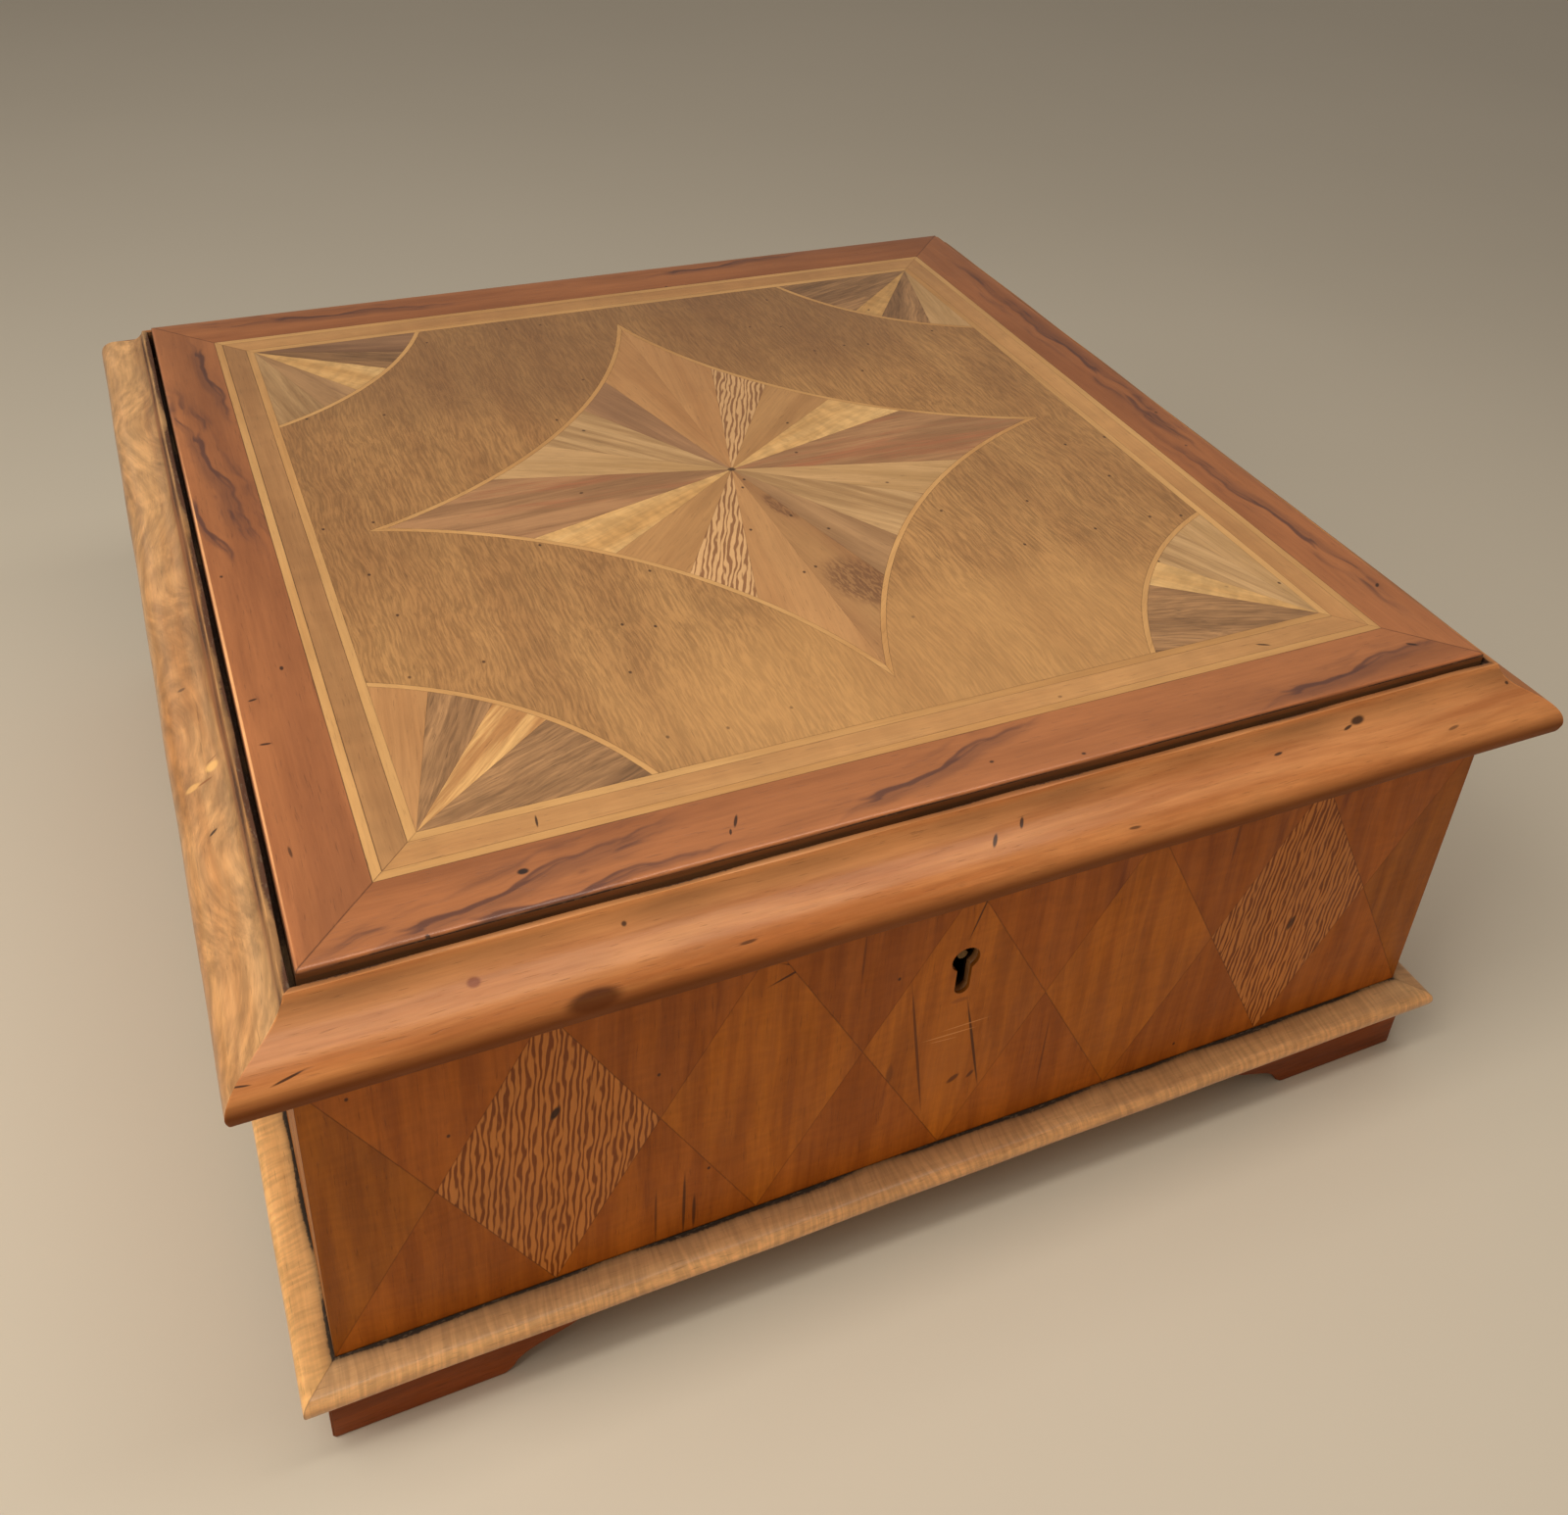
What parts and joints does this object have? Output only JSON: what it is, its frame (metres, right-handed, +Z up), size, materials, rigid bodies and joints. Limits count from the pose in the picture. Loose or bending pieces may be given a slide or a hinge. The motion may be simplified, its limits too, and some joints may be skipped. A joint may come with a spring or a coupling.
{
  "type": "cylinder music box",
  "caption": "Square inlaid wooden box on bracket feet with a hinged moulded lid, a keyhole lock and a lever-wound cylinder music movement inside.",
  "frame": {"origin": "centre of the box on the plane that its feet stand on", "axes": "+Z up, +X to the right along the keyhole side, +Y from the keyhole side towards the hinges"},
  "size_m": [0.2778, 0.2778, 0.12],
  "materials": {
    "case_wood": "bare sawn and planed wood, waxed",
    "side_veneer": "waxed specimen-wood veneer, satin",
    "base_moulding_wood": "pale honey wood, waxed",
    "lid_moulding_wood": "honey wood, waxed, satin",
    "foot_wood": "dark brown wood, waxed",
    "border_veneer": "reddish brown streaked veneer, satin",
    "banding_veneer": "golden veneer, satin",
    "stringing_veneer": "pale veneer, satin",
    "field_veneer": "golden brown veneer, satin",
    "star_veneer": "mixed specimen veneers, satin",
    "fan_veneer": "mixed specimen veneers, satin",
    "hinge_brass": "aged brass",
    "lock_brass": "aged brass",
    "movement_brass": "polished brass",
    "steel": "turned steel",
    "spring_steel": "blued spring steel",
    "comb_steel": "ground and polished steel",
    "screw_steel": "blued steel",
    "bedplate_iron": "dark painted casting"
  },
  "bodies": {
    "case": {"front_wall": "case_wood", "back_wall": "case_wood", "left_wall": "case_wood", "right_wall": "case_wood", "front_veneer": "side_veneer", "back_veneer": "side_veneer", "left_veneer": "side_veneer", "right_veneer": "side_veneer", "front_base_moulding": "base_moulding_wood", "back_base_moulding": "base_moulding_wood", "left_base_moulding": "base_moulding_wood", "right_base_moulding": "base_moulding_wood", "foot_front_left": "foot_wood", "foot_front_right": "foot_wood", "foot_back_left": "foot_wood", "foot_back_right": "foot_wood", "bottom_board": "case_wood", "partition": "case_wood", "hinge_leaves_case": "hinge_brass", "hinge_pins": "hinge_brass", "hinge_screws_case": "hinge_brass", "lock_case": "lock_brass", "bedplate": "bedplate_iron", "bedplate_posts": "steel", "cylinder_bridges": "movement_brass", "barrel_brackets": "movement_brass", "governor_frame": "movement_brass", "comb": "comb_steel", "comb_base": "bedplate_iron", "comb_screws": "screw_steel"},
    "lid": {"front_lid_moulding": "lid_moulding_wood", "back_lid_moulding": "lid_moulding_wood", "left_lid_moulding": "lid_moulding_wood", "right_lid_moulding": "lid_moulding_wood", "lid_board": "case_wood", "lid_border": "border_veneer", "lid_banding": "banding_veneer", "lid_stringing": "stringing_veneer", "lid_field": "field_veneer", "lid_star": "star_veneer", "lid_fans": "fan_veneer", "hinge_leaves_lid": "hinge_brass", "hinge_screws_lid": "hinge_brass", "lock_link_plate": "lock_brass"},
    "lock_bolt": {"lock_bolt": "steel"},
    "cylinder": {"cylinder": "movement_brass", "cylinder_arbor": "steel", "cylinder_pinion": "steel", "great_wheel": "movement_brass"},
    "barrel": {"spring_barrel": "movement_brass", "barrel_cover": "movement_brass", "mainspring": "spring_steel"},
    "winding": {"winding_lever": "steel", "barrel_arbor": "steel", "ratchet_wheel": "steel"},
    "click": {"click": "steel"},
    "governor": {"governor_arbor": "movement_brass"},
    "fly": {"fly": "steel"},
    "stop_lever": {"stop_lever": "movement_brass"}
  },
  "joints": [
    {"name": "lid_hinge", "type": "hinge", "parent": "case", "child": "lid", "pos_m": [0, 0.1302, 0.0992], "axis": [-1, 0, 0], "range_deg": [0, 105]},
    {"name": "lock_slide", "type": "slide", "parent": "case", "child": "lock_bolt", "axis": [1, 0, 0], "range_m": [0, 0.0035]},
    {"name": "cylinder_spin", "type": "hinge", "parent": "case", "child": "cylinder", "pos_m": [0, 0.062, 0.056], "axis": [1, 0, 0], "continuous": true},
    {"name": "barrel_spin", "type": "hinge", "parent": "case", "child": "barrel", "pos_m": [0, 0.09193, 0.058], "axis": [1, 0, 0], "continuous": true},
    {"name": "winding_lever", "type": "hinge", "parent": "case", "child": "winding", "pos_m": [0, 0.09193, 0.058], "axis": [-1, 0, 0], "range_deg": [0, 55]},
    {"name": "click_lift", "type": "hinge", "parent": "case", "child": "click", "pos_m": [-0.1058, 0.107, 0.071], "axis": [-1, 0, 0], "range_deg": [0, 12]},
    {"name": "governor_spin", "type": "hinge", "parent": "case", "child": "governor", "pos_m": [0.0755, 0.0872, 0.056], "axis": [1, 0, 0], "continuous": true},
    {"name": "fly_spin", "type": "hinge", "parent": "case", "child": "fly", "pos_m": [0.07725, 0.1014, 0.06], "axis": [0, 0, 1], "continuous": true},
    {"name": "stop_lever", "type": "hinge", "parent": "case", "child": "stop_lever", "pos_m": [0.094, 0.04, 0.035], "axis": [0, 0, 1], "range_deg": [0, 6]}
  ],
  "couplings": [
    {"joint": "barrel_spin", "follows": "cylinder_spin", "ratio": -0.25},
    {"joint": "governor_spin", "follows": "cylinder_spin", "ratio": -6},
    {"joint": "fly_spin", "follows": "cylinder_spin", "ratio": 240}
  ]
}
